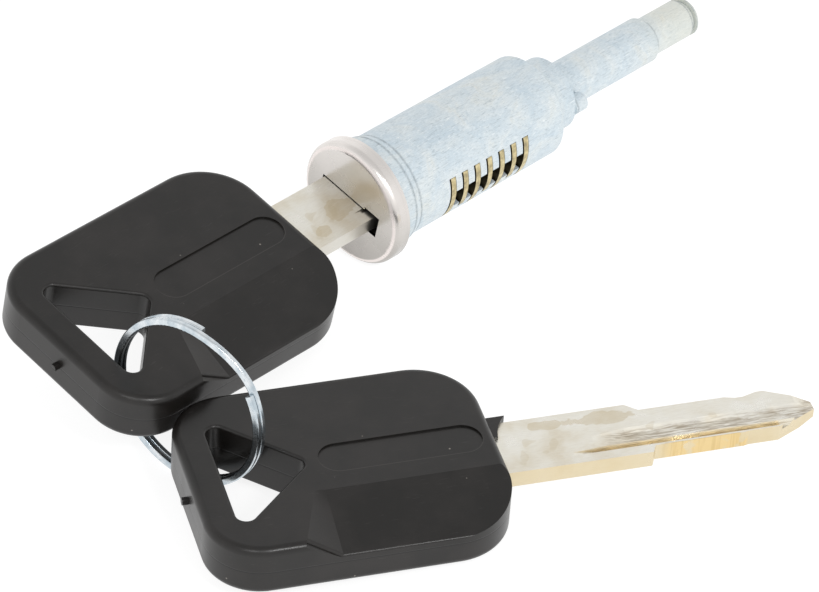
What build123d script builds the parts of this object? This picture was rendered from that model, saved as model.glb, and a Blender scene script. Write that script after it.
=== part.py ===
from build123d import *
import math
import os

# Lock cylinder of a small vehicle, lying on a table with one key pushed home and a spare key
# linked to it by a split ring. Lengths are in millimetres and angles in degrees.
#
# The lock is modelled along its own axis first: +X runs from the face to the tail, +Y across the
# key's blade and +Z square to the blade. Each key has its own axes too: +X to the tip, +Y across the
# blade, +Z square to it, with the origin where the blade leaves the head. The last section lays
# everything on the table, +Z up.

# Die-cast plug: a front disc under the face cap, a collar, the body and a stepped tail
body_radius = 7.25
collar_radius = 7.6
collar_length = 2.4
collar_taper_length = 1.1
body_length = 27.1
body_edge = 0.45
flange_radius = 5.2
flange_length = 4.35
flange_edge = 0.3
shaft_radius = 3.25
shaft_length = 18.55
shaft_edge = 0.45
tail_radius = 2.75
tail_length = 8.6
tail_edge = 0.4
clip_groove_width = 0.8
clip_groove_depth = 0.45
clip_groove_from_end = 0.7
index_boss_radius = 1.3
index_boss_length = 2.05
index_boss_out = 0.9
index_boss_angle = 169.5

# Face cap pressed from stainless sheet and rolled in behind the front disc
cap_radius = 8.7
cap_depth = 2.4
cap_wall = 0.4
cap_edge_radius = 1.05
cap_seat_gap = 0.03
cap_slot_room = 0.13
cap_slot_foot_half_height = 1.65
cap_slot_foot_end = -2.5
cap_slot_far_room = 0.35
cap_slot_near_room = 0.95

# Keyway and the row of wafer slots that cross it
keyway_room = 0.15
keyway_end_room = 0.8
mouth_depth = 2.6
wafer_count = 7
wafer_pitch = 2.25
first_wafer_from_collar = 6.475
wafer_thickness = 0.8
wafer_slot_width = 1.15
wafer_slot_half_height = 3.5
wafer_side_room = 0.06
wafer_rear_room = 0.08
side_groove_half_height = 1.35

# Wafers and the coil spring beside each of them
window_near_gap = 0.25
window_height_room = 0.25
wafer_travel = 0.8
wafer_stop_gap = 0.25
blind_bar = 0.75
spring_channel_height = 1.25
spring_outer_radius = 0.5
spring_wire_radius = 0.11
spring_turns = 5
spring_ledge_from_axis = 0.7
spring_foot_from_axis = 2.4
spring_end_gap = 0.02

# Key blade: nickel-plated brass, milled along both faces and narrower past its shoulders
blade_thickness = 2.3
blade_half_width = 4.6
blade_length = 41.8
blade_offset = 0.38
upper_step_start = 18.3
upper_step_run = 1.5
upper_half_width = 3.3
notch_start = 31.1
notch_run = 1.4
notch_depth = 0.4
crest_start = 33.5
crest_run = 1.9
crest_height = 0.15
lower_step_start = 19.3
lower_step_run = 0.6
lower_half_width = 3.5
heel_start = 31.7
heel_run = 0.6
heel_height = 0.15
point_start = 36.3
point_half_width = 0.7
point_thickness = 1.2
point_taper = 2.2
shank_length = 12.0
shank_half_width = 3.2
wide_groove_start = 12.5
wide_groove_near = -2.25
wide_groove_far = 0.45
wide_groove_wall = 0.7
wide_groove_depth = 0.45
narrow_groove_start = 9.5
narrow_groove_near = -3.15
narrow_groove_far = -2.25
narrow_groove_wall = 0.35
narrow_groove_depth = 0.75
groove_run_out = 4.5

# Moulded key head: rounded block, full height round the ring hole, with a sloped thumb facet on
# one side of each face, a shallow badge recess left blank and, on the spare, a small web at the
# blade's root
head_length = 38.7
head_width = 29.0
head_thickness = 7.1
head_offset = 0.25
head_front_radius = 8.0
head_rear_radius = 7.0
head_edge_radius = 1.0
facet_length = 23.0
facet_blend_inner = 1.4
facet_blend_outer = 4.8
facet_inner = 5.4
facet_drop = 2.55
facet_edge_radius = 0.45
facet_overrun = 0.02
facet_cut_over = 1.0
hole_rear_wall = 4.05
hole_length = 11.0
hole_side_wall = 4.2
hole_corner_radius = 1.3
hole_edge_radius = 0.4
recess_front_wall = 1.6
recess_length = 20.8
recess_width = 5.0
recess_depth = 0.25
gate_radius = 0.5
gate_height = 0.25
horn_length = 2.9
horn_root = 1.0
horn_start = 1.6
horn_width = 0.75
horn_cover = 0.45
shank_room = 0.03

# Split ring: one flat wire wound into two coils, one stepped across to the other
ring_radius = 10.95
ring_wire_radial = 1.0
ring_wire_axial = 0.75
ring_coil_gap = 0.05
ring_cross_angle = 52.0
ring_wire_edge = 0.22

# How the pieces lie on the table
lock_roll = 10.4
key_insertion_gap = 11.05
ring_from_hole_corner_x = 3.18
ring_from_hole_corner_y = -5.89
ring_tilt = 6.0
ring_heading = 8.26
ring_cross_start = 187.0
spare_hole_corner_from_ring_x = 0.42
spare_hole_corner_from_ring_y = -1.19
spare_heading = -28.86
spare_pitch = 2.94

# Where the key head's ring hole lies, from where the blade leaves the head and from its middle line
hole_back = head_length - hole_rear_wall
hole_half_width = head_width / 2 - hole_side_wall

# The ring stands near the rear corner of the hole in each of the two heads
ring_centre_x = ring_from_hole_corner_x - hole_back - key_insertion_gap
ring_centre_y = ring_from_hole_corner_y - hole_half_width + head_offset + blade_offset
spare_hole_corner = (Rot(0, 0, spare_heading) * Pos(-hole_back, head_offset + hole_half_width, 0)).position
spare_origin_x = ring_centre_x + spare_hole_corner_from_ring_x - spare_hole_corner.X
spare_origin_y = ring_centre_y + spare_hole_corner_from_ring_y - spare_hole_corner.Y

# Stations along the lock's axis, from the cap's outer face
disc_start = cap_wall + cap_seat_gap
disc_end = cap_depth - cap_wall - cap_seat_gap
disc_radius = cap_radius - cap_wall - cap_seat_gap
disc_edge = cap_edge_radius - cap_wall
collar_end = cap_depth + collar_length
taper_end = collar_end + collar_taper_length
body_end = taper_end + body_length
flange_end = body_end + flange_length
shaft_end = flange_end + shaft_length
tail_end = shaft_end + tail_length

key_tip = blade_length - key_insertion_gap
keyway_half_width = blade_half_width + keyway_room
keyway_half_height = blade_thickness / 2 + keyway_room
keyway_end = key_tip + keyway_end_room
slot_low = blade_offset - blade_half_width - cap_slot_near_room
slot_high = blade_offset + blade_half_width + cap_slot_far_room
first_wafer = collar_end + first_wafer_from_collar + wafer_slot_width / 2
wafer_stations = [first_wafer + i * wafer_pitch for i in range(wafer_count)]
wafer_half_height = wafer_slot_half_height - wafer_side_room
window_far_gap = window_near_gap + wafer_travel
window_half_height = blade_thickness / 2 + window_height_room
short_wafer_end = blade_offset + upper_half_width + window_near_gap + blind_bar
blind_end = short_wafer_end + wafer_travel + wafer_stop_gap
channel_top = -wafer_slot_half_height + spring_channel_height


def box_between(x0, x1, y0, y1, z0, z1):
    """Block between two corners."""
    block = Box(x1 - x0, y1 - y0, z1 - z0, align=(Align.MIN, Align.MIN, Align.MIN))
    return Pos(x0, y0, z0) * block


def turned(points):
    """Solid of revolution about the X axis from (x, radius) points."""
    outline = Polyline(*[(x, r, 0) for x, r in points], close=True)
    return revolve(make_face(outline), Axis.X, 360)


def opens_far_side(index):
    """Every second wafer reaches through to the plug's far side and is sprung that way."""
    return index % 2 == 1


def plug_blank():
    """The casting's turned outline, from the disc under the cap to the end of the tail."""
    groove_end = tail_end - clip_groove_from_end
    groove_start = groove_end - clip_groove_width
    groove_radius = tail_radius - clip_groove_depth
    blank = turned([
        (disc_start, 0),
        (disc_start, disc_radius - disc_edge),
        (disc_start + disc_edge, disc_radius),
        (disc_end, disc_radius),
        (disc_end, collar_radius),
        (collar_end, collar_radius),
        (taper_end, body_radius),
        (body_end - body_edge, body_radius),
        (body_end, body_radius - body_edge),
        (body_end, flange_radius),
        (flange_end - flange_edge, flange_radius),
        (flange_end, flange_radius - flange_edge),
        (flange_end, shaft_radius),
        (shaft_end - shaft_edge, shaft_radius),
        (shaft_end, shaft_radius - shaft_edge),
        (shaft_end, tail_radius),
        (groove_start, tail_radius),
        (groove_start, groove_radius),
        (groove_end, groove_radius),
        (groove_end, tail_radius),
        (tail_end - tail_edge, tail_radius),
        (tail_end, tail_radius - tail_edge),
        (tail_end, 0),
    ])
    return blank


def index_boss():
    """Round boss on the flange's rear face that turns the switch behind the lock."""
    out = shaft_radius + index_boss_out
    angle = math.radians(index_boss_angle)
    boss = Cylinder(index_boss_radius, index_boss_length + flange_edge, rotation=(0, 90, 0))
    boss = fillet(boss.edges().group_by(Axis.X)[-1], index_boss_radius * 0.3)
    middle = flange_end + (index_boss_length - flange_edge) / 2
    return Pos(middle, out * math.cos(angle), out * math.sin(angle)) * boss


def wafer_slot(index):
    """Slot for one wafer: a plain cut, stepped where the casting holds the spring's fixed end."""
    middle = wafer_stations[index]
    x0 = middle - wafer_slot_width / 2
    x1 = middle + wafer_slot_width / 2
    reach = body_radius + 1
    top = wafer_slot_half_height
    if opens_far_side(index):
        plate = box_between(x0, x1, -reach, reach, channel_top, top)
        channel = box_between(x0, x1, -spring_ledge_from_axis, reach, -top, channel_top)
    else:
        plate = box_between(x0, x1, -reach, blind_end, channel_top, top)
        channel = box_between(x0, x1, -reach, spring_ledge_from_axis, -top, channel_top)
    return plate + channel


def face_slot(x0, x1):
    """Key slot of the face: close to the blade, and taller at its foot."""
    foot = cap_slot_foot_half_height
    thin = blade_thickness / 2 + cap_slot_room
    return (box_between(x0, x1, slot_low, slot_high, -thin, thin)
            + box_between(x0, x1, slot_low, cap_slot_foot_end, -foot, foot))


def keyway():
    """Room for the blade, its wider mouth, and the long groove that opens it along the wafers."""
    low = blade_offset - keyway_half_width
    high = blade_offset + keyway_half_width
    tunnel = box_between(0, keyway_end, low, high, -keyway_half_height, keyway_half_height)
    mouth = face_slot(0, disc_start + mouth_depth)
    groove_start = wafer_stations[0] - wafer_slot_width / 2
    groove_end = wafer_stations[-1] + wafer_slot_width / 2
    groove = box_between(groove_start, groove_end, -body_radius - 1, low + keyway_room,
                         -side_groove_half_height, side_groove_half_height)
    return tunnel + mouth + groove


def make_plug():
    """The whole die casting."""
    plug = plug_blank() + index_boss() - keyway()
    for index in range(wafer_count):
        plug = plug - wafer_slot(index)
    return plug


def make_cap():
    """Pressed cup with a rounded rim, its free edge rolled in behind the casting's disc."""
    lip_radius = collar_radius + cap_seat_gap
    inner_edge = cap_edge_radius - cap_wall
    corner = cap_radius - cap_edge_radius
    diagonal = math.sqrt(0.5)
    outer_mid = (cap_edge_radius * (1 - diagonal), corner + cap_edge_radius * diagonal, 0)
    inner_mid = (cap_edge_radius - inner_edge * diagonal, corner + inner_edge * diagonal, 0)
    wall_radius = cap_radius - cap_wall
    outline = [
        Line((0, 0, 0), (0, corner, 0)),
        ThreePointArc((0, corner, 0), outer_mid, (cap_edge_radius, cap_radius, 0)),
        Polyline((cap_edge_radius, cap_radius, 0), (cap_depth, cap_radius, 0),
                 (cap_depth, lip_radius, 0), (cap_depth - cap_wall, lip_radius, 0),
                 (cap_depth - cap_wall, wall_radius, 0), (cap_edge_radius, wall_radius, 0)),
        ThreePointArc((cap_edge_radius, wall_radius, 0), inner_mid, (cap_wall, corner, 0)),
        Polyline((cap_wall, corner, 0), (cap_wall, 0, 0), (0, 0, 0)),
    ]
    edges = [edge for wire in outline for edge in wire.edges()]
    cup = revolve(make_face(edges), Axis.X, 360)
    return cup - face_slot(-1, cap_wall + 1)


def make_wafer(index):
    """Stamped wafer: ends flush with the plug, a window for the blade and a foot for its spring."""
    rear = wafer_stations[index] + wafer_slot_width / 2 - wafer_rear_room
    front = rear - wafer_thickness
    reach = body_radius + 1
    plate_low = channel_top + wafer_side_room
    upper_edge = blade_offset + upper_half_width
    lower_edge = blade_offset - lower_half_width
    if opens_far_side(index):
        plate = box_between(front, rear, -reach, reach, plate_low, wafer_half_height)
        foot = box_between(front, rear, spring_foot_from_axis, reach, -wafer_half_height, plate_low)
        window_low = lower_edge - window_near_gap
        window_high = upper_edge + window_far_gap
    else:
        plate = box_between(front, rear, -reach, short_wafer_end, plate_low, wafer_half_height)
        foot = box_between(front, rear, -reach, -spring_foot_from_axis, -wafer_half_height, plate_low)
        window_low = lower_edge - window_far_gap
        window_high = upper_edge + window_near_gap
    barrel = Pos((front + rear) / 2, 0, 0) * Cylinder(body_radius, 2 * wafer_slot_width, rotation=(0, 90, 0))
    window = box_between(front - 1, rear + 1, window_low, window_high,
                         -window_half_height, window_half_height)
    return ((plate + foot) & barrel) - window


def make_spring(index):
    """Coil spring lying across the plug, between the casting's ledge and the wafer's foot."""
    length = spring_foot_from_axis + spring_ledge_from_axis - 2 * spring_end_gap
    rise = length - 2 * spring_wire_radius
    coil_radius = spring_outer_radius - spring_wire_radius
    path = Helix(pitch=rise / spring_turns, height=rise, radius=coil_radius)
    section = Plane(origin=path @ 0, z_dir=path % 0) * RegularPolygon(spring_wire_radius, 6)
    coil = sweep(section, path=path, is_frenet=True)
    coil = Pos(0, 0, spring_wire_radius) * coil
    middle_height = (channel_top - wafer_slot_half_height) / 2
    rear = wafer_stations[index] + wafer_slot_width / 2 - wafer_rear_room
    middle = rear - wafer_thickness / 2
    middle = min(middle, wafer_stations[index] + wafer_slot_width / 2 - spring_outer_radius - spring_end_gap)
    if opens_far_side(index):
        start = -spring_ledge_from_axis + spring_end_gap
    else:
        start = -spring_foot_from_axis + spring_end_gap
    return Pos(middle, start, middle_height) * Rot(-90, 0, 0) * coil


def blade_outline():
    """Plan outline of the blade with its shank, in the key's own axes."""
    full = blade_half_width
    upper = upper_half_width
    lower = lower_half_width
    heel = lower - heel_height
    points = [
        (-shank_length, shank_half_width),
        (0, shank_half_width),
        (0, full),
        (upper_step_start, full),
        (upper_step_start + upper_step_run, upper),
        (notch_start, upper),
        (notch_start + notch_run, upper - notch_depth),
        (crest_start, upper - notch_depth),
        (crest_start + crest_run, upper + crest_height),
        (point_start, upper + crest_height),
        (blade_length, point_half_width),
        (blade_length, -point_half_width),
        (point_start, -heel),
        (heel_start + heel_run, -heel),
        (heel_start, -lower),
        (lower_step_start + lower_step_run, -lower),
        (lower_step_start, -full),
        (0, -full),
        (0, -shank_half_width),
        (-shank_length, -shank_half_width),
    ]
    return make_face(Polyline(*points, close=True))


def groove_cut(start, near, far, wall, depth):
    """One milled groove: upright near wall, flat floor, sloped far wall, rising out at its start."""
    top = blade_thickness / 2
    over = 0.6
    section = Polyline((near, top - depth), (far - wall, top - depth),
                       (far + wall * over / depth, top + over), (near, top + over), close=True)
    full_depth_at = start + groove_run_out
    face = Plane(origin=(full_depth_at, 0, 0), x_dir=(0, 1, 0), z_dir=(1, 0, 0)) * make_face(section)
    groove = extrude(face, amount=blade_length + 1 - full_depth_at, dir=(1, 0, 0))
    rise = (-groove_run_out, 0, depth)
    run_out = extrude(face, amount=1.2 * math.hypot(groove_run_out, depth), dir=rise)
    return groove + run_out


def make_blade():
    """Key blade with its shank, milled alike on both faces."""
    blade = extrude(blade_outline(), blade_thickness / 2, both=True)
    side_view = Polyline(
        (-shank_length - 1, -blade_thickness),
        (blade_length - point_taper, -blade_thickness / 2),
        (blade_length, -point_thickness / 2),
        (blade_length, point_thickness / 2),
        (blade_length - point_taper, blade_thickness / 2),
        (-shank_length - 1, blade_thickness),
        close=True,
    )
    wedge = extrude(Plane.XZ * make_face(side_view), blade_half_width + 1, both=True)
    blade = blade & wedge
    wide = groove_cut(wide_groove_start, wide_groove_near, wide_groove_far,
                      wide_groove_wall, wide_groove_depth)
    narrow = groove_cut(narrow_groove_start, narrow_groove_near, narrow_groove_far,
                        narrow_groove_wall, narrow_groove_depth)
    for cut in (wide, narrow):
        blade = blade - cut - Rot(180, 0, 0) * cut
    return blade


def head_block():
    """Rounded plan outline of the moulded head, raised to its full thickness."""
    block = Box(head_length, head_width, head_thickness)
    upright = block.edges().filter_by(Axis.Z)
    block = fillet(upright.group_by(Axis.X)[-1], head_front_radius)
    upright = block.edges().filter_by(Axis.Z).filter_by(lambda edge: edge.center().X < -head_length / 2 + 0.1)
    block = fillet(upright, head_rear_radius)
    return Pos(-head_length / 2, head_offset, 0) * block


def ring_hole():
    """Three-cornered hole for the ring, pointing to the blade."""
    rear = -hole_back
    corners = Polyline((rear, hole_half_width), (rear + hole_length, 0), (rear, -hole_half_width), close=True)
    face = make_face(corners)
    face = fillet(face.vertices(), hole_corner_radius)
    return extrude(Pos(0, head_offset, 0) * face, head_thickness, both=True)


def facet_section(drop, lift):
    """Outline, across the key, of what a facet takes away: a slope that rounds over into the side."""
    top = head_thickness / 2
    slope_top = top + lift
    inner = head_offset - facet_inner
    side = head_offset - head_width / 2 - facet_overrun
    slope = math.atan2(drop + lift, inner - side)
    rounding = facet_edge_radius
    tangent = rounding * math.tan((math.pi / 2 - slope) / 2)
    half_turn = (math.pi / 2 + slope) / 2
    slope_end = (side + tangent * math.cos(slope), top - drop + tangent * math.sin(slope))
    side_start = (side, top - drop - tangent)
    middle = (side + rounding * (1 - math.sin(half_turn)), side_start[1] + rounding * math.cos(half_turn))
    clear = top + facet_cut_over
    outer = side - facet_cut_over
    corners = Polyline((outer, side_start[1]), (outer, clear), (inner, clear), (inner, slope_top), slope_end)
    arc = ThreePointArc(slope_end, middle, side_start)
    bottom = Line(side_start, (outer, side_start[1]))
    return make_face(list(corners.edges()) + [arc.edge(), bottom.edge()])


def thumb_facet():
    """Wedge cut from the upper face on the key's -Y side, blending out towards the ring hole."""
    inner = head_offset - facet_inner
    section = facet_section(facet_drop, 0)
    start = Plane.YZ.offset(facet_cut_over) * section
    main = extrude(start, amount=facet_length + facet_cut_over, dir=(-1, 0, 0))
    front = Plane.YZ.offset(-facet_length) * section
    lean = (facet_blend_outer - facet_blend_inner) / (head_width / 2 - facet_inner)
    rear_plane = Plane(origin=(-facet_length - facet_blend_inner - lean * inner, 0, 0),
                       x_dir=(lean, 1, 0), z_dir=(1, -lean, 0))
    rear = rear_plane * facet_section(-facet_overrun, facet_overrun / 2)
    blend = loft([front, rear], ruled=True)
    return main + blend


def badge_recess():
    """Shallow recess with round ends along the upper face, for a badge."""
    middle = -recess_front_wall - recess_length / 2
    cut = extrude(SlotOverall(recess_length, recess_width), recess_depth + 1)
    return Pos(middle, head_offset, head_thickness / 2 - recess_depth) * cut


def root_horn():
    """Web of the moulding that grips one edge of the blade at its root."""
    edge = blade_half_width + horn_width
    half = blade_thickness / 2 + horn_cover
    curve = ThreePointArc((horn_root, horn_start), (horn_root + 0.5, edge * 0.62), (horn_length, edge))
    rest = Polyline((horn_length, edge), (-0.5, edge), (-0.5, horn_start), (horn_root, horn_start))
    return extrude(make_face([curve.edge()] + list(rest.edges())), half, both=True)


def shank_pocket():
    """Room that the moulding leaves round the blade's shank, and round its root in the horn."""
    half = blade_thickness / 2 + shank_room
    shank = box_between(-shank_length - shank_room, 0.01, -shank_half_width - shank_room,
                        shank_half_width + shank_room, -half, half)
    root = box_between(0, horn_length + 1, -blade_half_width - shank_room,
                       blade_half_width + shank_room, -half, half)
    return shank + root


def other_face(cut):
    """The same cut on the head's underside, half a turn round the key's length."""
    return Pos(0, 2 * head_offset, 0) * Rot(180, 0, 0) * cut


def on_hole_rim(edge):
    """True for the edges of the ring hole on the head's two faces."""
    middle = edge.center()
    in_plan = -hole_back - hole_edge_radius / 2 < middle.X < -hole_back + hole_length
    near_middle = abs(middle.Y - head_offset) < hole_half_width
    return in_plan and near_middle and abs(abs(middle.Z) - head_thickness / 2) < 0.01


def make_head(webbed):
    """Moulded head of a key, with or without the small web that grips the blade's root."""
    head = head_block()
    facet = thumb_facet()
    recess = badge_recess()
    rims = head.edges().group_by(Axis.Z)
    head = fillet(rims[0] + rims[-1], head_edge_radius)
    head = head - ring_hole()
    head = fillet(head.edges().filter_by(on_hole_rim), hole_edge_radius)
    head = head - facet - other_face(facet)
    head = head - recess - other_face(recess)
    gate = Pos(-head_length - gate_height / 2, head_offset, 0) * Cylinder(
        gate_radius, gate_height + 1, rotation=(0, 90, 0))
    head = head + gate
    if webbed:
        head = head + root_horn()
    return head - shank_pocket()


def make_ring():
    """Split ring in its own plane, its axis along Z: two coils and the step between them."""
    coil_step = ring_wire_axial + ring_coil_gap
    section = RectangleRounded(ring_wire_radial, ring_wire_axial, ring_wire_edge)
    face = Plane(origin=(ring_radius, 0, 0), x_dir=(1, 0, 0), z_dir=(0, -1, 0)) * section
    coil = Rot(0, 0, ring_cross_angle) * revolve(face, Axis.Z, 360 - ring_cross_angle)
    steps = 8
    sections = []
    for step in range(steps + 1):
        share = step / steps
        ease = share * share * (3 - 2 * share)
        sections.append(Pos(0, 0, coil_step * (ease - 0.5)) * Rot(0, 0, ring_cross_angle * share) * face)
    crossing = loft(sections)
    return Pos(0, 0, -coil_step / 2) * coil + crossing + Pos(0, 0, coil_step / 2) * coil


def surface_points(shapes):
    """Points spread closely over the surfaces of some shapes."""
    return [point for shape in shapes for point in shape.tessellate(0.005, 0.1)[0]]


def lowest(shapes):
    """Lowest height that any of the shapes reaches."""
    return min(point.Z for point in surface_points(shapes))


# The pieces of the lock, in the lock's own axes
lock_pieces = {"plug_casting": make_plug(), "face_cap": make_cap()}
for index in range(wafer_count):
    lock_pieces[f"wafer_{index + 1}"] = make_wafer(index)
    lock_pieces[f"wafer_spring_{index + 1}"] = make_spring(index)
blade = make_blade()
head = make_head(webbed=False)
webbed_head = make_head(webbed=True)
key_in_lock = Pos(-key_insertion_gap, blade_offset, 0)
lock_pieces["key_blade"] = key_in_lock * blade
lock_pieces["key_head"] = key_in_lock * head

# The lock lies on the rear edge of its cap and the rear edge of its body
lock_tilt = math.degrees(math.atan2(cap_radius - body_radius, body_end - body_edge - cap_depth))
lock_turn = Rot(0, lock_tilt, 0) * Rot(lock_roll, 0, 0)
lock_drop = lowest([lock_turn * lock_pieces[name] for name in ("plug_casting", "face_cap")])
lock_place = Pos(0, 0, -lock_drop) * lock_turn

# The spare key lies on the front edge of its head, raised at the rear by the ring under it
spare_turn = Pos(spare_origin_x, spare_origin_y, 0) * Rot(0, 0, spare_heading) * Rot(0, spare_pitch, 0)
spare_drop = lowest([spare_turn * blade, spare_turn * webbed_head])
spare_place = Pos(0, 0, -spare_drop) * spare_turn

# The ring stands on the table, leaning between the two heads
ring = make_ring()
ring_turn = (Pos(ring_centre_x, ring_centre_y, 0) * Rot(0, 0, ring_heading)
             * Rot(0, 90 + ring_tilt, 0) * Rot(0, 0, ring_cross_start))
ring_place = Pos(0, 0, -lowest([ring_turn * ring])) * ring_turn

pieces = {name: lock_place * piece for name, piece in lock_pieces.items()}
pieces["spare_key_blade"] = spare_place * blade
pieces["spare_key_head"] = spare_place * webbed_head
pieces["split_ring"] = ring_place * ring

# The shared frame starts at the middle of the whole set's footprint, on the table
outer = surface_points([pieces[name] for name in pieces if not name.startswith("wafer")])
middle_x = (min(point.X for point in outer) + max(point.X for point in outer)) / 2
middle_y = (min(point.Y for point in outer) + max(point.Y for point in outer)) / 2
to_frame = Pos(-middle_x, -middle_y, 0)

os.makedirs("parts", exist_ok=True)
for name, piece in pieces.items():
    placed = to_frame * piece
    placed.label = name
    export_step(placed, os.path.join("parts", name + ".step"))
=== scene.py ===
import math

import bpy
from mathutils import Matrix, Vector

# Looks of a vehicle lock cylinder with its key in it and a spare key linked by a split ring.
# Lengths are in metres in the shared frame: +X along the lock to its tail, +Z up from the table.

MM = 0.001

# Camera, fitted to the outlines in the photograph
CAMERA_PLACE = (-0.31787, -0.29938, 0.37918)
CAMERA_RIGHT = (0.7121, -0.7020, 0.0051)
CAMERA_UP = (0.4546, 0.4667, 0.7586)
FOCAL_PIXELS = 4498.0
CENTRE_PIXEL = (395.5, 300.3)
PHOTO_WIDTH = 819.0
PHOTO_HEIGHT = 592.0
SENSOR = 36.0

# Middle of the lock's face, where each key's blade leaves its head, and how they are turned
LOCK_PLACE = (-0.004680, 0.024067, 0.008805)
LOCK_TURN = (10.4, 2.75, 0.0)
KEY_PLACE = (-0.015714, 0.024440, 0.009404)
SPARE_PLACE = (-0.021525, -0.018648, 0.003495)
SPARE_TURN = (0.0, 2.94, -28.86)

# A pair below is where a look starts to show and where it shows fully.

# Steps of the casting, from the lock's face, and how near a step its corner gets painted shade
STEPS = (0.00475, 0.0059, 0.0330, 0.03735, 0.0559, 0.0630, 0.0638)
CORNER_SHADE_REACH = (0.00030, 0.00002)

# Where the casting turns cream towards its tail, from the lock's face
TAIL_TURNS_CREAM = (0.0520, 0.0600)

# Painted shade inside the wafer slots, by distance from the lock's axis and from its face, and painted
# shade on the walls of the keyhole in the cap, by distance from the axis
SLOT_SHADE_RADIUS = (0.0059, 0.0056)
SLOT_SHADE_END = (0.0328, 0.0325)
KEYHOLE_SHADE_RADIUS = (0.0062, 0.0060)

# Heights over the lock's axis between which the cap's colour runs from painted shade to painted light
CAP_SHADE_HEIGHT = -0.0090
CAP_LIT_HEIGHT = 0.0090

# Bare brass on each blade, from where the blade leaves its head: across it, and its start and end along
BARE_BELOW = (-0.00336, -0.00346)
BARE_START = (0.0202, 0.0224)
BARE_END = (0.0360, 0.0350)

# Distance from the blade's middle plane within which its faces are milled ones
MILLED_UNDER = (0.00108, 0.00075)

# Dried drops on each blade, in millimetres from where it leaves its head: along it, across it, half
# their length and half their width
KEY_DROPS = ((8.0, -0.8, 2.4, 1.7), (4.0, -2.6, 1.5, 1.0))
SPARE_DROPS = ((7.3, 3.0, 1.7, 0.8), (15.2, 2.9, 4.2, 1.2))

# Outline of the badge recess on each key head, from where the blade leaves the head
RECESS_MIDDLE = (-0.0120, 0.00025)
RECESS_HALF_STRAIGHT = 0.0079
RECESS_RADIUS = 0.0025

# How near the recess's outline its edge gets a painted highlight, how far down, and how near the middle
# plane of a head its parting line runs
RECESS_HIGHLIGHT_REACH = (0.00011, 0.00004)
RECESS_HIGHLIGHT_BELOW = (0.0005, -0.0015)
PARTING_REACH = (0.00010, 0.00005)

# White tent round the table: brightness at its sides and overhead, and how high it starts and ends to dim
TENT_SIDES = 0.97
TENT_TOP = 0.66
TENT_DIMS = (0.45, 0.90)

# The two softboxes: place, width in metres and power in watts
CAMERA_LIGHT_PLACE = (-0.45, -0.30, 0.60)
CAMERA_LIGHT_WIDTH = 0.16
CAMERA_LIGHT = 0.6
RIM_LIGHT_PLACE = (-0.11, -0.48, 0.51)
RIM_LIGHT_WIDTH = 0.10
RIM_LIGHT = 1.0

# White table under the set
TABLE_WIDTH = 6.0
TABLE_COLOUR = "#8C8C8C"
TABLE_GLOW = 0.85

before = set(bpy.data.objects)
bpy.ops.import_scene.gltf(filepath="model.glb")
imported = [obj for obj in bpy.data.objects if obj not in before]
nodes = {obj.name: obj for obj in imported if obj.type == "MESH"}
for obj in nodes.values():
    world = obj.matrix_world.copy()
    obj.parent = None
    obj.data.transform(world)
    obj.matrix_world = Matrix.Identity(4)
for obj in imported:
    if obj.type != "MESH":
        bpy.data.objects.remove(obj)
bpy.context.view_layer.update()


def linear(hex_colour):
    """sRGB hex colour as linear RGBA for a shader socket."""
    channels = [int(hex_colour[i:i + 2], 16) / 255 for i in (1, 3, 5)]
    return [c / 12.92 if c <= 0.04045 else ((c + 0.055) / 1.055) ** 2.4 for c in channels] + [1.0]


def add(tree, kind, inputs=None, stops=(), **settings):
    """One shader node with its settings. An input is a socket to link, a hex colour or a plain value."""
    node = tree.nodes.new("ShaderNode" + kind)
    for name, value in settings.items():
        setattr(node, name, value)
    for name, value in (inputs or {}).items():
        if isinstance(value, bpy.types.NodeSocket):
            tree.links.new(value, node.inputs[name])
        elif isinstance(value, str):
            node.inputs[name].default_value = linear(value)
        else:
            node.inputs[name].default_value = value
    if stops:
        elements = node.color_ramp.elements
        elements[0].position, elements[0].color = stops[0][0], linear(stops[0][1])
        elements[1].position, elements[1].color = stops[-1][0], linear(stops[-1][1])
        for position, colour in stops[1:-1]:
            elements.new(position).color = linear(colour)
    return node


def new_material(name):
    """Empty node material and its tree."""
    material = bpy.data.materials.new(name)
    material.use_nodes = True
    material.node_tree.nodes.clear()
    return material, material.node_tree


def finish(tree, inputs, height=None, depth=0.0, strength=0.0):
    """Ends a material with its surface, and with bumps of a real depth where it has a height."""
    if height is not None:
        bump = add(tree, "Bump", {"Height": height, "Distance": depth, "Strength": strength})
        inputs = {**inputs, "Normal": bump.outputs["Normal"]}
    surface = add(tree, "BsdfPrincipled", inputs)
    add(tree, "OutputMaterial", {"Surface": surface.outputs["BSDF"]})


def piece_point(tree, place, turn):
    """Object coordinates measured from a piece's own place and turn, and their three parts."""
    source = add(tree, "TexCoord").outputs["Object"]
    turned = [math.radians(angle) for angle in turn]
    point = add(tree, "Mapping", {"Vector": source, "Location": place, "Rotation": turned},
                vector_type="TEXTURE").outputs["Vector"]
    return point, add(tree, "SeparateXYZ", {"Vector": point}).outputs


def where_all(tree, *conditions):
    """1 only where every condition holds, and 0 where one fails, with soft edges between.

    A condition is a mask, or a value with its limits: where it starts to hold and where it holds fully.
    """
    product = None
    for condition in conditions:
        mask = condition
        if isinstance(condition, tuple):
            value, (starts, full) = condition
            limits = {"Value": value, "From Min": starts, "From Max": full}
            mask = add(tree, "MapRange", limits).outputs["Result"]
        if product is None:
            product = mask
        else:
            product = add(tree, "Math", {0: product, 1: mask}, operation="MULTIPLY").outputs[0]
    return product


def summed(tree, *parts):
    """Sum of values, each with its weight."""
    total = 0.0
    for value, weight in parts:
        total = add(tree, "Math", {0: value, 1: weight, 2: total}, operation="MULTIPLY_ADD").outputs[0]
    return total


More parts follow.
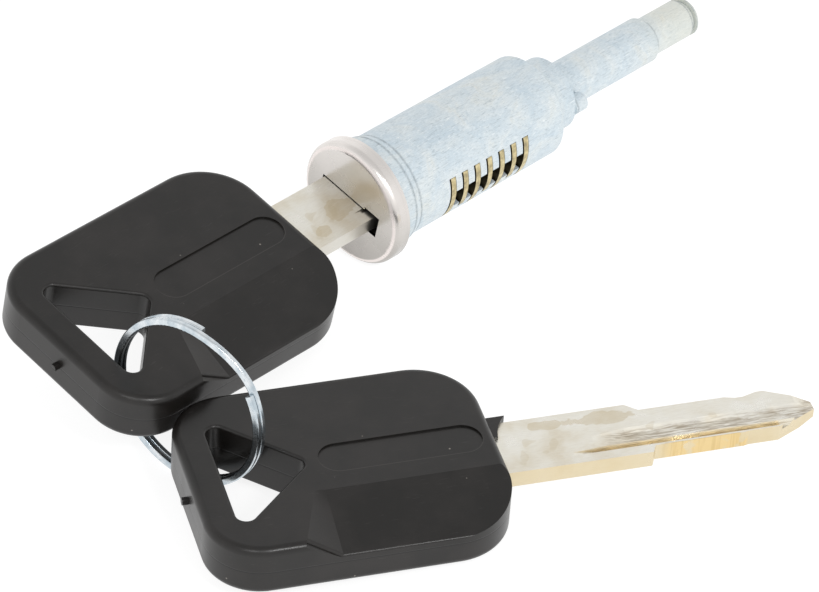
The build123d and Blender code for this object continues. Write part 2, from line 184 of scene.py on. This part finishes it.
def reach(tree, first, second):
    """Length of an offset with these two parts, square to each other."""
    flat = add(tree, "CombineXYZ", {"X": first, "Y": second}).outputs["Vector"]
    return add(tree, "VectorMath", {0: flat}, operation="LENGTH").outputs["Value"]


def near(tree, value, place, distances):
    """1 close to a place: it starts at the first distance and is full from the second one on."""
    offset = add(tree, "Math", {0: value, 1: place}, operation="SUBTRACT").outputs[0]
    away = add(tree, "Math", {0: offset}, operation="ABSOLUTE").outputs[0]
    return where_all(tree, (away, distances))


def tinted(tree, base, colour, pattern, most, low=0.0, high=1.0):
    """Lays a colour over the base: none where the pattern is at low, and most of it at high."""
    share = add(tree, "MapRange", {"Value": pattern, "From Min": low, "From Max": high, "To Max": most})
    layer = add(tree, "Mix", {0: share.outputs["Result"], 6: base, 7: colour}, data_type="RGBA")
    return layer.outputs[2]


def scratches(tree, point, angle, size, limits):
    """Thin marks that run one way: 1 on a mark and 0 between marks."""
    along = add(tree, "Mapping", {"Vector": point, "Rotation": (0.4, 0.7, math.radians(angle)),
                                  "Scale": (0.1, 1.0, 1.0)}).outputs["Vector"]
    marks = add(tree, "TexNoise", {"Vector": along, "Scale": 1.0 / size, "Detail": 2.0,
                                   "Roughness": 0.6, "Distortion": 0.5})
    return where_all(tree, (marks.outputs["Fac"], limits))


def along_lock(tree):
    """How squarely a surface faces along the lock, 0 on its barrel and 1 on its end faces."""
    pitch = math.radians(LOCK_TURN[1])
    normal = add(tree, "NewGeometry").outputs["Normal"]
    facing = add(tree, "VectorMath", {0: normal, 1: (math.cos(pitch), 0.0, -math.sin(pitch))},
                 operation="DOT_PRODUCT").outputs["Value"]
    return add(tree, "Math", {0: facing}, operation="ABSOLUTE").outputs[0]


def dried_drop(tree, point, axes, drop):
    """One dried drop on a blade, with a wavering rim: 1 inside it and 0 outside."""
    along, across, half_length, half_width = (measure * MM for measure in drop)
    offsets = [add(tree, "MapRange", {"Value": axes[axis], "From Min": middle, "From Max": middle + half},
                   clamp=False).outputs["Result"]
               for axis, middle, half in (("X", along, half_length), ("Y", across, half_width))]
    waver = add(tree, "TexNoise", {"Vector": point, "Scale": 1.0 / (2.0 * MM)}).outputs["Fac"]
    wander = add(tree, "MapRange", {"Value": waver, "From Min": 0.3, "From Max": 0.7,
                                    "To Min": -0.35, "To Max": 0.35}).outputs["Result"]
    distance = summed(tree, (reach(tree, *offsets), 1.0), (wander, 1.0))
    return where_all(tree, (distance, (1.04, 0.96)))


def zinc_casting():
    """Die-cast zinc, blue passivated: pale, clouded blue and cream, with fine scratches and pits.

    Painted shade darkens the corners of its steps and fills the wafer slots inside. The scratches are
    drawn coarser than real ones, which would be too fine to show.
    """
    material, tree = new_material("passivated_zinc_die_casting")
    point, axes = piece_point(tree, LOCK_PLACE, LOCK_TURN)
    cloud, mottle, pits = [
        add(tree, "TexNoise", {"Vector": point, "Scale": 1.0 / size, "Detail": detail,
                               "Roughness": roughness, "Distortion": distortion}).outputs["Fac"]
        for size, detail, roughness, distortion in (
            (5.0 * MM, 5.0, 0.62, 1.0), (0.8 * MM, 6.0, 0.72, 1.4), (0.40 * MM, 4.0, 0.65, 0.0))]
    base = add(tree, "ValToRGB", {"Fac": cloud}, stops=(
        (0.32, "#C6D4DD"), (0.46, "#D0DBE1"), (0.58, "#D8E0E3"), (0.72, "#DCDFDB"))).outputs["Color"]
    base = tinted(tree, base, "#B7C5CD", mottle, 0.5, 0.52, 0.74)
    base = tinted(tree, base, "#EAF1F4", mottle, 0.6, 0.46, 0.30)
    base = tinted(tree, base, "#97A3AA", pits, 0.45, 0.62, 0.72)
    for angle, size in ((20.0, 0.10 * MM), (75.0, 0.12 * MM), (110.0, 0.16 * MM), (140.0, 0.09 * MM)):
        dark_marks = scratches(tree, point, angle, size, (0.60, 0.70))
        base = tinted(tree, base, "#97A5AD", dark_marks, 0.45)
        light_marks = scratches(tree, point, angle + 33.0, size, (0.66, 0.74))
        base = tinted(tree, base, "#FBFDFD", light_marks, 0.6)
    base = tinted(tree, base, "#E0DCC8", axes["X"], 0.45, *TAIL_TURNS_CREAM)
    patchy = add(tree, "MapRange", {"Value": mottle, "From Min": 0.35, "From Max": 0.6, "To Min": 0.35})
    patchy_shade_mask = where_all(tree, (along_lock(tree), (0.5, 0.3)), patchy.outputs["Result"])
    # Painted shade in the corners of the casting's steps, patchy, and only on its barrel
    for step in STEPS:
        corner = near(tree, axes["X"], step, CORNER_SHADE_REACH)
        base = tinted(tree, base, "#7C888F", where_all(tree, corner, patchy_shade_mask), 0.7)
    out = reach(tree, axes["Y"], axes["Z"])
    # Painted shade inside the wafer slots
    slot_shade = where_all(tree, (out, SLOT_SHADE_RADIUS), (axes["X"], SLOT_SHADE_END))
    base = tinted(tree, base, "#161512", slot_shade, 1.0)
    roughness = add(tree, "MapRange", {"Value": mottle, "From Min": 0.3, "From Max": 0.7,
                                       "To Min": 0.42, "To Max": 0.6}).outputs["Result"]
    height = summed(tree, (mottle, 0.5), (pits, -0.6))
    finish(tree, {"Base Color": base, "Metallic": 0.25, "Roughness": roughness}, height, 0.03 * MM, 0.5)
    return material


def polished_stainless():
    """Pressed stainless sheet: brushed across its face, turned lines round its rolled rim."""
    material, tree = new_material("brushed_stainless_sheet")
    point, axes = piece_point(tree, LOCK_PLACE, LOCK_TURN)
    smears = add(tree, "TexNoise", {"Vector": point, "Scale": 1.0 / (4.0 * MM),
                                    "Roughness": 0.4}).outputs["Fac"]
    lift = add(tree, "MapRange", {"Value": smears, "From Min": 0.3, "From Max": 0.7,
                                  "To Min": -0.06, "To Max": 0.06}).outputs["Result"]
    # Painted shade low on the cap, brightening to painted light high on it
    height = where_all(tree, (axes["Z"], (CAP_SHADE_HEIGHT, CAP_LIT_HEIGHT)))
    base = add(tree, "ValToRGB", {"Fac": summed(tree, (height, 1.0), (lift, 1.0))}, stops=(
        (0.08, "#A29E9A"), (0.5, "#C4C0BB"), (0.92, "#EBE6E2"))).outputs["Color"]
    out = reach(tree, axes["Y"], axes["Z"])
    rings = add(tree, "CombineXYZ", {"X": axes["X"], "Y": out}).outputs["Vector"]
    turned = add(tree, "TexNoise", {"Vector": rings, "Scale": 1.0 / (0.12 * MM)}).outputs["Fac"]
    brushed = scratches(tree, point, 35.0, 0.12 * MM, (0.40, 0.80))
    base = tinted(tree, base, "#F0EEEB", brushed, 0.12)
    base = tinted(tree, base, "#B4AFAB", turned, 0.12, 0.5, 0.7)
    facing = along_lock(tree)
    # Painted highlight round the rolled rim, where the metal is also made less metallic
    rim_highlight = where_all(tree, (facing, (0.78, 0.88)), (facing, (0.995, 0.97)))
    base = tinted(tree, base, "#F2E9E5", rim_highlight, 1.0)
    # Painted shade on the walls of the keyhole
    keyhole_shade = where_all(tree, (out, KEYHOLE_SHADE_RADIUS), (facing, (0.5, 0.4)))
    base = tinted(tree, base, "#141312", keyhole_shade, 1.0)
    metallic = add(tree, "MapRange", {"Value": rim_highlight, "To Min": 1.0, "To Max": 0.4}).outputs["Result"]
    roughness = add(tree, "MapRange", {"Value": smears, "From Min": 0.35, "From Max": 0.7,
                                       "To Min": 0.22, "To Max": 0.34}).outputs["Result"]
    grain = summed(tree, (turned, 1.0), (brushed, 1.0))
    finish(tree, {"Base Color": base, "Metallic": metallic, "Roughness": roughness}, grain, 0.003 * MM, 0.2)
    return material


def wafer_brass():
    """Stamped brass, dull and a little tarnished in blotches, with a painted shadow on its flat sides."""
    material, tree = new_material("stamped_brass")
    point = piece_point(tree, LOCK_PLACE, LOCK_TURN)[0]
    stain = add(tree, "TexNoise", {"Vector": point, "Scale": 1.0 / (0.9 * MM), "Detail": 4.0,
                                   "Roughness": 0.6}).outputs["Fac"]
    base = add(tree, "ValToRGB", {"Fac": stain}, stops=(
        (0.34, "#A4987A"), (0.50, "#C6B88E"), (0.66, "#E0D2A8"))).outputs["Color"]
    # Painted shadow on the wafers' flat sides
    base = tinted(tree, base, "#3E3420", along_lock(tree), 0.9, 0.5, 0.8)
    roughness = add(tree, "MapRange", {"Value": stain, "From Min": 0.35, "From Max": 0.65,
                                       "To Min": 0.42, "To Max": 0.30}).outputs["Result"]
    grain = add(tree, "TexNoise", {"Vector": point, "Scale": 1.0 / (0.15 * MM)}).outputs["Fac"]
    finish(tree, {"Base Color": base, "Metallic": 1.0, "Roughness": roughness}, grain, 0.008 * MM, 0.4)
    return material


def spring_steel():
    """Drawn spring wire, dark grey and smooth."""
    material, tree = new_material("spring_steel_wire")
    point = add(tree, "TexCoord").outputs["Object"]
    cloud = add(tree, "TexNoise", {"Vector": point, "Scale": 1.0 / (0.5 * MM), "Detail": 3.0})
    base = add(tree, "ValToRGB", {"Fac": cloud.outputs["Fac"]}, stops=(
        (0.4, "#74777B"), (0.6, "#8C8F93"))).outputs["Color"]
    finish(tree, {"Base Color": base, "Metallic": 1.0, "Roughness": 0.35})
    return material


def nickelled_brass(name, place, turn, edge_tint, drops):
    """Nickel plate on brass: warm silver with tan stains, bare yellow brass where cutters broke it.

    Its scratches are drawn coarser than real ones, which would be too fine to show.
    """
    material, tree = new_material(name)
    point, axes = piece_point(tree, place, turn)
    normal = add(tree, "NewGeometry").outputs["Normal"]
    up = add(tree, "SeparateXYZ", {"Vector": normal}).outputs["Z"]
    haze = add(tree, "TexNoise", {"Vector": point, "Scale": 1.0 / (5.0 * MM), "Detail": 3.0,
                                  "Roughness": 0.55, "Distortion": 0.3}).outputs["Fac"]
    base = add(tree, "ValToRGB", {"Fac": haze}, stops=(
        (0.34, "#FAF8F0"), (0.52, "#F4F0E4"), (0.70, "#EAE2D0"))).outputs["Color"]
    dried = add(tree, "TexNoise", {"Vector": point, "Scale": 1.0 / (2.4 * MM), "Detail": 1.0,
                                   "Roughness": 0.35}).outputs["Fac"]
    base = tinted(tree, base, "#D2C3A2", dried, 0.25, 0.68, 0.705)
    for drop in drops:
        base = tinted(tree, base, "#D3C29E", dried_drop(tree, point, axes, drop), 0.45)
    lines = scratches(tree, point, 0.0, 0.10 * MM, (0.40, 0.78))
    base = tinted(tree, base, "#C4BAA8", lines, 0.2)
    cross_marks = scratches(tree, point, 62.0, 0.30 * MM, (0.58, 0.74))
    base = tinted(tree, base, "#FBFAF6", cross_marks, 0.2)
    side_wall = near(tree, up, 0.0, (0.55, 0.25))
    sunk = near(tree, axes["Z"], 0.0, MILLED_UNDER)
    milled = scratches(tree, point, 0.0, 0.25 * MM, (0.38, 0.62))
    groove = where_all(tree, sunk, (side_wall, (0.9, 0.4)), milled)
    base = tinted(tree, base, "#A09079", groove, 0.75)
    base = tinted(tree, base, edge_tint, side_wall, 0.75)
    worn = add(tree, "TexNoise", {"Vector": point, "Scale": 1.0 / (2.2 * MM), "Detail": 3.0}).outputs["Fac"]
    patches = add(tree, "MapRange", {"Value": worn, "From Min": 0.42, "From Max": 0.48, "To Min": 0.15})
    cutter = add(tree, "Mapping", {"Vector": point, "Scale": (1.0, 0.05, 0.05)}).outputs["Vector"]
    chatter = add(tree, "TexNoise", {"Vector": cutter, "Scale": 1.0 / (0.35 * MM), "Detail": 1.0})
    brass = tinted(tree, "#E8CF9A", "#C2A264", chatter.outputs["Fac"], 0.4, 0.45, 0.75)
    bare = where_all(tree, (axes["Y"], BARE_BELOW), (axes["X"], BARE_START), (axes["X"], BARE_END),
                     patches.outputs["Result"])
    base = tinted(tree, base, brass, bare, 1.0)
    roughness = add(tree, "MapRange", {"Value": haze, "From Min": 0.35, "From Max": 0.65,
                                       "To Min": 0.26, "To Max": 0.38}).outputs["Result"]
    height = summed(tree, (cross_marks, 1.0), (lines, -1.0))
    finish(tree, {"Base Color": base, "Metallic": 1.0, "Roughness": roughness}, height, 0.006 * MM, 0.35)
    return material


def recess_edge_highlight(tree, axes):
    """1 on the lower edge of the badge recess, where a highlight is painted, and 0 elsewhere."""
    offset, across = [add(tree, "Math", {0: axes[axis], 1: middle}, operation="SUBTRACT").outputs[0]
                      for axis, middle in zip("XY", RECESS_MIDDLE)]
    along = add(tree, "Math", {0: offset}, operation="ABSOLUTE").outputs[0]
    past = add(tree, "Math", {0: along, 1: RECESS_HALF_STRAIGHT}, operation="SUBTRACT").outputs[0]
    past_straight = add(tree, "Math", {0: past, 1: 0.0}, operation="MAXIMUM").outputs[0]
    line = near(tree, reach(tree, past_straight, across), RECESS_RADIUS, RECESS_HIGHLIGHT_REACH)
    return where_all(tree, line, (across, RECESS_HIGHLIGHT_BELOW))


def moulded_plastic(name, place, turn):
    """Moulded black plastic, satin from a spark-eroded mould, with its parting line and some dust.

    The grain of the mould is drawn coarser than a real one, which would be too fine to show.
    """
    material, tree = new_material(name)
    point, axes = piece_point(tree, place, turn)
    cloud, grain = [
        add(tree, "TexNoise", {"Vector": point, "Scale": 1.0 / size, "Detail": detail,
                               "Roughness": roughness}).outputs["Fac"]
        for size, detail, roughness in ((6.0 * MM, 4.0, 0.55), (0.20 * MM, 3.0, 0.6))]
    base = add(tree, "ValToRGB", {"Fac": cloud}, stops=(
        (0.4, "#151311"), (0.65, "#1F1C1A"))).outputs["Color"]
    rubs = summed(tree, (scratches(tree, point, 25.0, 0.22 * MM, (0.66, 0.76)), 1.0),
                  (scratches(tree, point, 100.0, 0.18 * MM, (0.68, 0.78)), 1.0))
    base = tinted(tree, base, "#6A6866", rubs, 0.2, 0.0, 2.0)
    cells = add(tree, "TexVoronoi", {"Vector": point, "Scale": 1.0 / (2.6 * MM)}).outputs
    chance = add(tree, "SeparateColor", {"Color": cells["Color"]}).outputs["Red"]
    dust = where_all(tree, (cells["Distance"], (0.055, 0.03)), (chance, (0.60, 0.62)))
    base = tinted(tree, base, "#B0A9A0", dust, 0.5)
    # Painted highlight on the lower edge of the badge recess
    base = tinted(tree, base, "#6B6764", recess_edge_highlight(tree, axes), 0.22)
    parting = near(tree, axes["Z"], 0.0, PARTING_REACH)
    base = tinted(tree, base, "#030303", parting, 0.8)
    roughness = add(tree, "MapRange", {"Value": cloud, "From Min": 0.35, "From Max": 0.7,
                                       "To Min": 0.29, "To Max": 0.37}).outputs["Result"]
    height = summed(tree, (grain, 0.25), (parting, -1.0))
    finish(tree, {"Base Color": base, "IOR": 1.48, "Roughness": roughness}, height, 0.05 * MM, 0.35)
    return material


def plated_wire():
    """Bright zinc plate on steel wire, slightly blue, dulled in small spots."""
    material, tree = new_material("zinc_plated_steel_wire")
    point = add(tree, "TexCoord").outputs["Object"]
    cloud, spots, grain = [
        add(tree, "TexNoise", {"Vector": point, "Scale": 1.0 / size, "Detail": detail,
                               "Roughness": roughness}).outputs["Fac"]
        for size, detail, roughness in ((1.6 * MM, 3.0, 0.5), (0.5 * MM, 4.0, 0.65), (0.2 * MM, 2.0, 0.5))]
    base = add(tree, "ValToRGB", {"Fac": cloud}, stops=(
        (0.35, "#BCC8D0"), (0.65, "#E4E9EC"))).outputs["Color"]
    base = tinted(tree, base, "#8F9BA4", spots, 0.5, 0.58, 0.70)
    finish(tree, {"Base Color": base, "Metallic": 1.0, "Roughness": 0.2}, grain, 0.006 * MM, 0.3)
    return material


def dress(material, chosen):
    """Gives the named CAD nodes one finish."""
    for name in chosen:
        mesh = nodes[name].data
        mesh.materials.clear()
        mesh.materials.append(material)


wafers = [name for name in nodes if name.startswith("wafer_") and "spring" not in name]
springs = [name for name in nodes if name.startswith("wafer_spring")]
dress(zinc_casting(), ["plug_casting"])
dress(polished_stainless(), ["face_cap"])
dress(wafer_brass(), wafers)
dress(spring_steel(), springs)
dress(nickelled_brass("nickel_plated_brass_key", KEY_PLACE, LOCK_TURN, "#CBC8C0", KEY_DROPS), ["key_blade"])
dress(nickelled_brass("nickel_plated_brass_spare", SPARE_PLACE, SPARE_TURN, "#D9C79E", SPARE_DROPS),
      ["spare_key_blade"])
dress(moulded_plastic("moulded_black_polyamide_key", KEY_PLACE, LOCK_TURN), ["key_head"])
dress(moulded_plastic("moulded_black_polyamide_spare", SPARE_PLACE, SPARE_TURN), ["spare_key_head"])
dress(plated_wire(), ["split_ring"])


def pale_floor():
    """White table, bright enough of itself that the shadows on it stay pale."""
    bpy.ops.object.select_all(action="DESELECT")
    bpy.ops.mesh.primitive_plane_add(size=TABLE_WIDTH, location=(0.0, 0.0, 0.0))
    floor = bpy.context.active_object
    floor.name = "floor"
    material, tree = new_material("white_table")
    finish(tree, {"Base Color": TABLE_COLOUR, "Roughness": 0.8, "Specular IOR Level": 0.0,
                  "Emission Color": "#FFFFFF", "Emission Strength": TABLE_GLOW})
    floor.data.materials.append(material)


def soft_light(name, place, width, power):
    """Square softbox aimed at the middle of the set's footprint."""
    light = bpy.data.lights.new(name, "AREA")
    light.shape = "SQUARE"
    light.size = width
    light.energy = power
    holder = bpy.data.objects.new(name, light)
    bpy.context.scene.collection.objects.link(holder)
    holder.location = place
    holder.rotation_euler = (-Vector(place)).to_track_quat("-Z", "Y").to_euler()


def studio():
    """White tent, brighter round its sides than overhead, and a small softbox at each of two places."""
    world = bpy.data.worlds.new("studio")
    bpy.context.scene.world = world
    world.use_nodes = True
    tree = world.node_tree
    direction = add(tree, "TexCoord").outputs["Generated"]
    height = add(tree, "SeparateXYZ", {"Vector": direction}).outputs["Z"]
    level = add(tree, "MapRange", {"Value": height, "From Min": TENT_DIMS[0], "From Max": TENT_DIMS[1],
                                   "To Min": TENT_SIDES, "To Max": TENT_TOP}).outputs["Result"]
    background = tree.nodes["Background"]
    background.inputs["Color"].default_value = linear("#FFFFFF")
    tree.links.new(level, background.inputs["Strength"])
    soft_light("beside_camera", CAMERA_LIGHT_PLACE, CAMERA_LIGHT_WIDTH, CAMERA_LIGHT)
    soft_light("before_table", RIM_LIGHT_PLACE, RIM_LIGHT_WIDTH, RIM_LIGHT)


def photo_camera():
    """Camera at the photograph's place, with its principal point off the frame's middle."""
    camera = bpy.data.cameras.new("camera")
    camera.sensor_fit = "HORIZONTAL"
    camera.sensor_width = SENSOR
    camera.lens = SENSOR * FOCAL_PIXELS / PHOTO_WIDTH
    camera.shift_x = (PHOTO_WIDTH / 2 - CENTRE_PIXEL[0]) / PHOTO_WIDTH
    camera.shift_y = (CENTRE_PIXEL[1] - PHOTO_HEIGHT / 2) / PHOTO_WIDTH
    camera.clip_start = 0.01
    holder = bpy.data.objects.new("camera", camera)
    bpy.context.scene.collection.objects.link(holder)
    right = Vector(CAMERA_RIGHT).normalized()
    back = right.cross(Vector(CAMERA_UP)).normalized()
    up = back.cross(right)
    turn = Matrix((right, up, back)).transposed().to_4x4()
    holder.matrix_world = Matrix.Translation(CAMERA_PLACE) @ turn
    bpy.context.scene.camera = holder


pale_floor()
studio()
photo_camera()
bpy.context.scene.view_settings.view_transform = "Standard"
